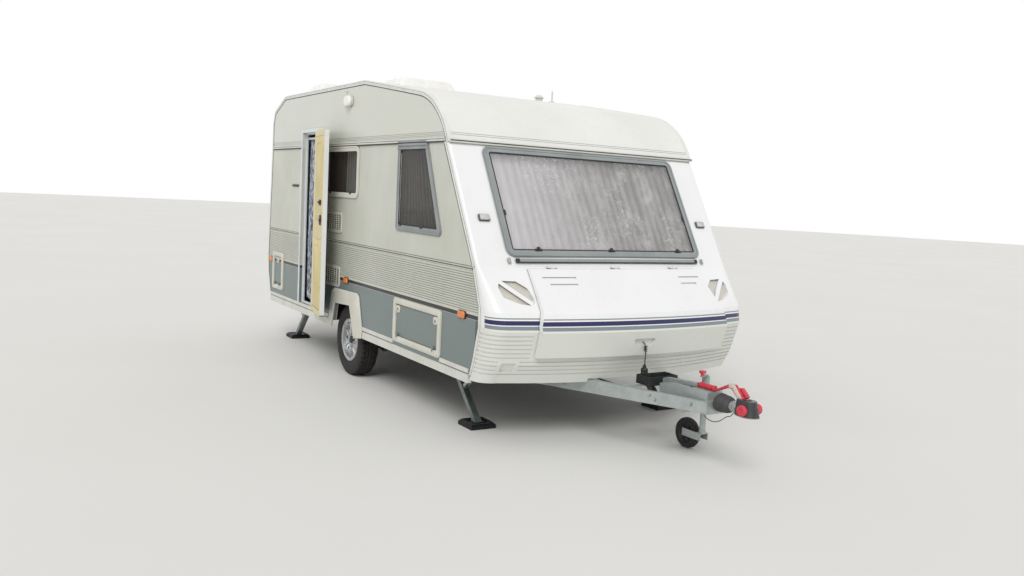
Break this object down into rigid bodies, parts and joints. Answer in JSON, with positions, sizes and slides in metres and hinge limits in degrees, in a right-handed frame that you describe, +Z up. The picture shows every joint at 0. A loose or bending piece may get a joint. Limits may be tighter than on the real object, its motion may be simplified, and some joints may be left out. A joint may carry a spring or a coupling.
{
  "type": "travel caravan",
  "caption": "Single-axle touring caravan with a sloping front window, an open entry door, a gas locker nose, corner steadies, a jockey wheel and an overrun drawbar.",
  "frame": {"origin": "centre of the tow-ball socket in the coupling head", "axes": "+X forwards along the towing direction, +Y to the caravan's left, +Z up; the ground is at z = -0.428 m"},
  "size_m": [5.7933, 2.3148, 2.515],
  "materials": {
    "wall_enamel": "satin enamel, warm pale grey",
    "white_moulding": "glossy white fibreglass",
    "roof_skin": "satin white enamel",
    "grey_frame": "matt grey-green",
    "acrylic": "tinted acrylic",
    "cream_plastic": "semi-gloss cream",
    "cream_door": "satin cream-yellow lining",
    "blue_grey_panel": "satin blue-grey enamel",
    "white_trim": "satin white",
    "galvanised": "dull galvanised",
    "cast_steel": "zinc-plated casting",
    "black_plastic": "matt black",
    "red_plastic": "satin red",
    "tyre_rubber": "dull black rubber",
    "alloy": "satin silver alloy",
    "bellows_rubber": "dull dark rubber",
    "grey_rubber": "solid rubber",
    "lamp_lens": "translucent orange",
    "red_lens": "translucent red",
    "clear_lens": "frosted clear",
    "dome_plastic": "aged translucent dome",
    "plywood": "dark preserved plywood",
    "curtain_cloth": "pale grey-pink cloth",
    "chenille": "blue-grey chenille strands",
    "cable_black": "black cable sheath"
  },
  "bodies": {
    "caravan": {"awning_lamp": "clear_lens", "axle": "galvanised", "body_rails": "white_trim", "breakaway_cable": "cable_black", "chassis_rails": "galvanised", "coupling_head": "cast_steel", "coupling_levers": "red_plastic", "door_fly_curtain": "chenille", "door_frame": "white_trim", "drawbar": "galvanised", "drawbar_bellows": "bellows_rubber", "drawbar_tray": "black_plastic", "edge_trims": "white_trim", "floor": "plywood", "fridge_vents": "cream_plastic", "front_panel": "white_moulding", "gas_locker_box": "white_moulding", "handbrake_lever": "galvanised", "hatch_frames": "cream_plastic", "jockey_clamp": "galvanised", "marker_lamps": "lamp_lens", "overrun_housing": "galvanised", "rear_bumper": "white_moulding", "rear_lamps": "red_lens", "rear_panel": "white_moulding", "roof_panel": "roof_skin", "roof_vent_and_aerial": "white_trim", "rooflights": "dome_plastic", "side_wall_left": "wall_enamel", "side_wall_right": "wall_enamel", "steady_brackets": "galvanised", "tow_shaft": "cast_steel", "wheel_arch_trims": "cream_plastic", "wheel_boxes": "black_plastic", "window_curtains": "curtain_cloth", "window_frames": "grey_frame", "window_panes": "acrylic"},
    "wheel_left": {"tyre_left": "tyre_rubber", "rim_left": "alloy"},
    "wheel_right": {"tyre_right": "tyre_rubber", "rim_right": "alloy"},
    "entry_door": {"door_panel": "cream_door", "door_fittings": "black_plastic"},
    "gas_lid": {"gas_locker_lid": "white_moulding", "plug_lead": "cable_black", "lead_plug": "black_plastic"},
    "front_hatch": {"front_locker_hatch": "blue_grey_panel"},
    "rear_hatch": {"rear_locker_hatch": "blue_grey_panel"},
    "jockey_tube": {"jockey_inner_tube": "galvanised"},
    "jockey_swivel_fork": {"jockey_fork": "galvanised"},
    "jockey_roller": {"jockey_wheel": "grey_rubber"},
    "steady_front_right": {"steady_leg_front_right": "galvanised"},
    "brace_front_right": {"steady_brace_front_right": "galvanised"},
    "steady_front_left": {"steady_leg_front_left": "galvanised"},
    "brace_front_left": {"steady_brace_front_left": "galvanised"},
    "steady_rear_right": {"steady_leg_rear_right": "galvanised"},
    "brace_rear_right": {"steady_brace_rear_right": "galvanised"},
    "steady_rear_left": {"steady_leg_rear_left": "galvanised"},
    "brace_rear_left": {"steady_brace_rear_left": "galvanised"}
  },
  "joints": [
    {"name": "wheel_left_spin", "type": "hinge", "parent": "caravan", "child": "wheel_left", "pos_m": [-3.53, 0.938, -0.131], "axis": [0, 1, 0], "continuous": true},
    {"name": "wheel_right_spin", "type": "hinge", "parent": "caravan", "child": "wheel_right", "pos_m": [-3.53, -0.938, -0.131], "axis": [0, 1, 0], "continuous": true},
    {"name": "entry_door_swing", "type": "hinge", "parent": "caravan", "child": "entry_door", "pos_m": [-4.17, -1.08, 0.872], "axis": [0, 0, 1], "range_deg": [-169, 0]},
    {"name": "gas_lid_lift", "type": "hinge", "parent": "caravan", "child": "gas_lid", "pos_m": [-1.29, 0, 0.694], "axis": [0, -1, 0], "range_deg": [0, 70]},
    {"name": "front_hatch_drop", "type": "hinge", "parent": "caravan", "child": "front_hatch", "pos_m": [-2.1575, -1.075, 0.072], "axis": [1, 0, 0], "range_deg": [0, 95]},
    {"name": "rear_hatch_drop", "type": "hinge", "parent": "caravan", "child": "rear_hatch", "pos_m": [-5.357, -1.075, 0.127], "axis": [1, 0, 0], "range_deg": [0, 95]},
    {"name": "jockey_winding", "type": "slide", "parent": "caravan", "child": "jockey_tube", "axis": [0, 0, 1], "range_m": [-0.075, 0.09]},
    {"name": "jockey_swivel", "type": "hinge", "parent": "jockey_tube", "child": "jockey_swivel_fork", "pos_m": [-0.587, 0.222, -0.278], "axis": [0, 0, 1], "continuous": true},
    {"name": "jockey_roll", "type": "hinge", "parent": "jockey_swivel_fork", "child": "jockey_roller", "pos_m": [-0.717, 0.222, -0.328], "axis": [0, 1, 0], "continuous": true},
    {"name": "steady_front_right_swing", "type": "hinge", "parent": "caravan", "child": "steady_front_right", "pos_m": [-1.98, -0.81, -0.098], "axis": [0, -1, 0], "range_deg": [0, 44.2]},
    {"name": "brace_front_right_turn", "type": "hinge", "parent": "steady_front_right", "child": "brace_front_right", "pos_m": [-1.87254, -0.81, -0.20265], "axis": [0, -1, 0], "range_deg": [-71.05, 0]},
    {"name": "steady_front_left_swing", "type": "hinge", "parent": "caravan", "child": "steady_front_left", "pos_m": [-1.98, 0.81, -0.098], "axis": [0, -1, 0], "range_deg": [0, 44.2]},
    {"name": "brace_front_left_turn", "type": "hinge", "parent": "steady_front_left", "child": "brace_front_left", "pos_m": [-1.87254, 0.81, -0.20265], "axis": [0, -1, 0], "range_deg": [-71.05, 0]},
    {"name": "steady_rear_right_swing", "type": "hinge", "parent": "caravan", "child": "steady_rear_right", "pos_m": [-5.135, -0.81, -0.098], "axis": [0, 1, 0], "range_deg": [0, 44.2]},
    {"name": "brace_rear_right_turn", "type": "hinge", "parent": "steady_rear_right", "child": "brace_rear_right", "pos_m": [-5.24246, -0.81, -0.20265], "axis": [0, 1, 0], "range_deg": [-71.05, 0]},
    {"name": "steady_rear_left_swing", "type": "hinge", "parent": "caravan", "child": "steady_rear_left", "pos_m": [-5.135, 0.81, -0.098], "axis": [0, 1, 0], "range_deg": [0, 44.2]},
    {"name": "brace_rear_left_turn", "type": "hinge", "parent": "steady_rear_left", "child": "brace_rear_left", "pos_m": [-5.24246, 0.81, -0.20265], "axis": [0, 1, 0], "range_deg": [-71.05, 0]}
  ],
  "couplings": [
    {"joint": "brace_front_right_turn", "follows": "steady_front_right_swing", "ratio": -1.603},
    {"joint": "brace_front_left_turn", "follows": "steady_front_left_swing", "ratio": -1.603},
    {"joint": "brace_rear_right_turn", "follows": "steady_rear_right_swing", "ratio": -1.603},
    {"joint": "brace_rear_left_turn", "follows": "steady_rear_left_swing", "ratio": -1.603}
  ]
}
